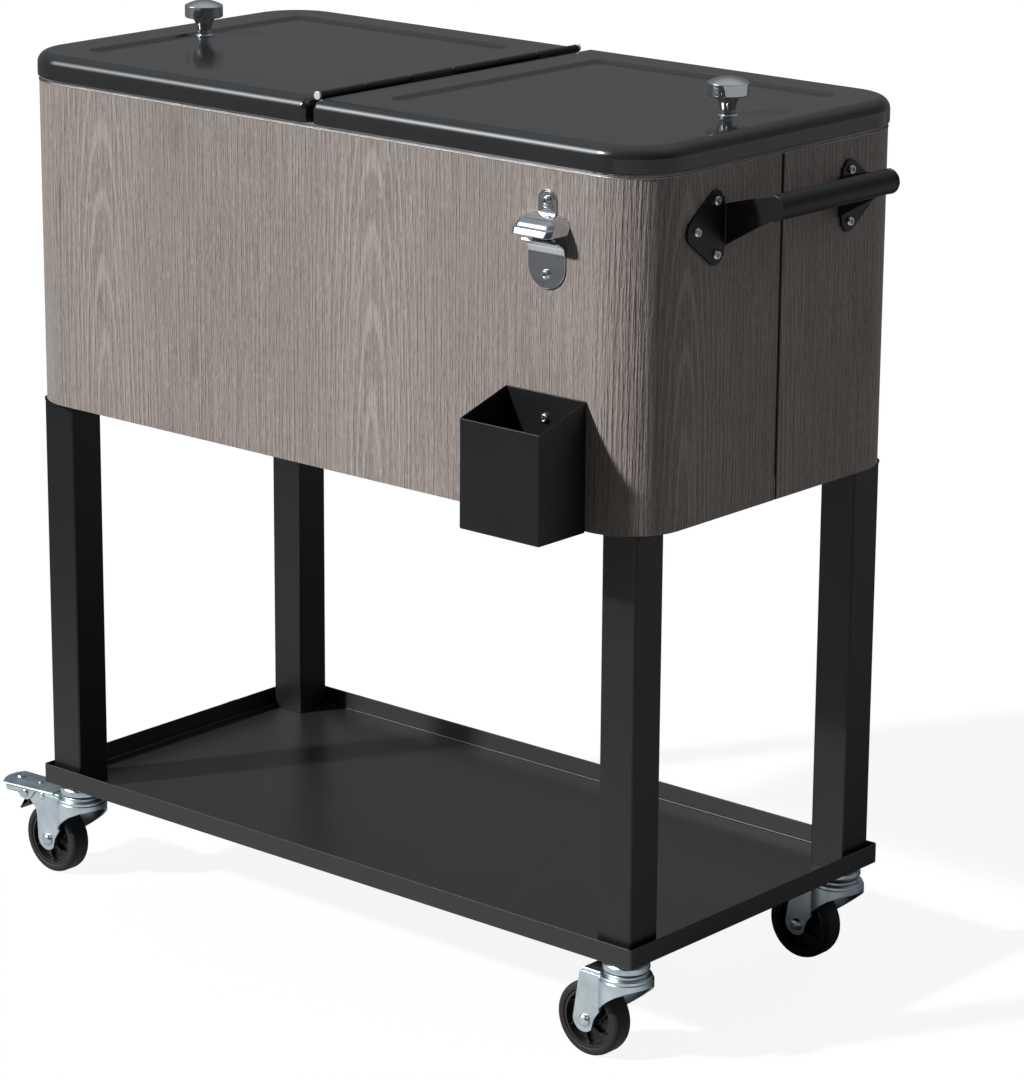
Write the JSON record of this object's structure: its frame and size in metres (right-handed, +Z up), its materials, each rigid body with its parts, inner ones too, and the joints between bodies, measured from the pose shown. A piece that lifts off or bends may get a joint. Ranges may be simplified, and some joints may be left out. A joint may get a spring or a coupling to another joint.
{
  "type": "rolling patio cooler",
  "caption": "Rolling insulated patio cooler with hinged twin lids, a tray shelf on legs, swivel casters, a side handle, and a bottle opener over a cap catcher.",
  "frame": {"origin": "on the ground, under the middle of the box around the whole cooler", "axes": "+X towards the end with the handle, +Y away from the front with the bottle opener, +Z up"},
  "size_m": [0.9456, 0.4682, 0.91],
  "materials": {
    "wood_grain_steel": "satin",
    "lid_steel": "satin",
    "bright_rim": "satin",
    "zinc_sheet": "satin",
    "foam": "matte",
    "liner_plastic": "satin",
    "black_steel": "satin",
    "tray_steel": "gloss",
    "hinge_steel": "polished",
    "polished_steel": "polished",
    "screw_steel": "polished",
    "black_plastic": "satin",
    "zinc_plate": "satin",
    "zinc_bolt": "polished",
    "chrome": "polished",
    "hub_plastic": "satin",
    "tyre_rubber": "matte"
  },
  "bodies": {
    "cooler": {"cabinet_front": "wood_grain_steel", "cabinet_back": "wood_grain_steel", "top_rim": "bright_rim", "base_pan": "zinc_sheet", "insulation": "foam", "liner": "liner_plastic", "crossbar": "black_steel", "hinge_web": "black_steel", "hinge_pin": "hinge_steel", "handle_bracket_front": "black_steel", "handle_bracket_back": "black_steel", "handle_bar": "black_steel", "bottle_opener": "polished_steel", "cap_catcher": "black_steel", "wall_screws": "screw_steel", "leg_front_left": "black_steel", "leg_front_right": "black_steel", "leg_back_left": "black_steel", "leg_back_right": "black_steel", "leg_bolts": "screw_steel", "leg_plugs": "black_plastic", "tray": "tray_steel", "drain_spout": "black_plastic", "caster_front_left_race": "zinc_plate", "caster_front_right_race": "zinc_plate", "caster_back_left_race": "zinc_plate", "caster_back_right_race": "zinc_plate"},
    "lid_left": {"lid_left_shell": "lid_steel", "lid_left_panel": "liner_plastic", "lid_left_foam": "foam", "lid_left_leaf": "black_steel", "lid_left_knob": "chrome"},
    "lid_right": {"lid_right_shell": "lid_steel", "lid_right_panel": "liner_plastic", "lid_right_foam": "foam", "lid_right_leaf": "black_steel", "lid_right_knob": "chrome"},
    "caster_front_left_swivel": {"caster_front_left_fork": "zinc_plate", "caster_front_left_axle": "zinc_bolt"},
    "caster_front_left_wheel": {"caster_front_left_hub": "hub_plastic", "caster_front_left_tyre": "tyre_rubber"},
    "brake_front_left": {"brake_front_left_lever": "zinc_plate", "brake_front_left_tongue": "black_plastic"},
    "caster_front_right_swivel": {"caster_front_right_fork": "zinc_plate", "caster_front_right_axle": "zinc_bolt"},
    "caster_front_right_wheel": {"caster_front_right_hub": "hub_plastic", "caster_front_right_tyre": "tyre_rubber"},
    "caster_back_left_swivel": {"caster_back_left_fork": "zinc_plate", "caster_back_left_axle": "zinc_bolt"},
    "caster_back_left_wheel": {"caster_back_left_hub": "hub_plastic", "caster_back_left_tyre": "tyre_rubber"},
    "brake_back_left": {"brake_back_left_lever": "zinc_plate", "brake_back_left_tongue": "black_plastic"},
    "caster_back_right_swivel": {"caster_back_right_fork": "zinc_plate", "caster_back_right_axle": "zinc_bolt"},
    "caster_back_right_wheel": {"caster_back_right_hub": "hub_plastic", "caster_back_right_tyre": "tyre_rubber"},
    "drain_cap": {"drain_cap": "black_plastic"}
  },
  "joints": [
    {"name": "lid_left_hinge", "type": "hinge", "parent": "cooler", "child": "lid_left", "pos_m": [0.00275, 0.0316, 0.876], "axis": [0, 1, 0], "range_deg": [0, 80]},
    {"name": "lid_right_hinge", "type": "hinge", "parent": "cooler", "child": "lid_right", "pos_m": [0.00275, 0.0316, 0.876], "axis": [0, -1, 0], "range_deg": [0, 80]},
    {"name": "caster_front_left_swivel", "type": "hinge", "parent": "cooler", "child": "caster_front_left_swivel", "pos_m": [-0.36475, -0.1339, 0], "axis": [0, 0, 1], "continuous": true},
    {"name": "caster_front_left_wheel", "type": "hinge", "parent": "caster_front_left_swivel", "child": "caster_front_left_wheel", "pos_m": [-0.40275, -0.1339, 0.037], "axis": [0, 1, 0], "continuous": true},
    {"name": "brake_front_left_lever", "type": "hinge", "parent": "caster_front_left_swivel", "child": "brake_front_left", "pos_m": [-0.41475, -0.1339, 0.081], "axis": [0, -1, 0], "range_deg": [0, 12]},
    {"name": "caster_front_right_swivel", "type": "hinge", "parent": "cooler", "child": "caster_front_right_swivel", "pos_m": [0.37025, -0.1339, 0], "axis": [0, 0, 1], "continuous": true},
    {"name": "caster_front_right_wheel", "type": "hinge", "parent": "caster_front_right_swivel", "child": "caster_front_right_wheel", "pos_m": [0.33225, -0.1339, 0.037], "axis": [0, 1, 0], "continuous": true},
    {"name": "caster_back_left_swivel", "type": "hinge", "parent": "cooler", "child": "caster_back_left_swivel", "pos_m": [-0.36475, 0.1971, 0], "axis": [0, 0, 1], "continuous": true},
    {"name": "caster_back_left_wheel", "type": "hinge", "parent": "caster_back_left_swivel", "child": "caster_back_left_wheel", "pos_m": [-0.40275, 0.1971, 0.037], "axis": [0, 1, 0], "continuous": true},
    {"name": "brake_back_left_lever", "type": "hinge", "parent": "caster_back_left_swivel", "child": "brake_back_left", "pos_m": [-0.41475, 0.1971, 0.081], "axis": [0, -1, 0], "range_deg": [0, 12]},
    {"name": "caster_back_right_swivel", "type": "hinge", "parent": "cooler", "child": "caster_back_right_swivel", "pos_m": [0.37025, 0.1971, 0], "axis": [0, 0, 1], "continuous": true},
    {"name": "caster_back_right_wheel", "type": "hinge", "parent": "caster_back_right_swivel", "child": "caster_back_right_wheel", "pos_m": [0.33225, 0.1971, 0.037], "axis": [0, 1, 0], "continuous": true},
    {"name": "drain_cap_turn", "type": "hinge", "parent": "cooler", "child": "drain_cap", "pos_m": [-0.29725, 0.1216, 0.505], "axis": [0, 0, 1], "range_deg": [0, 540]}
  ]
}
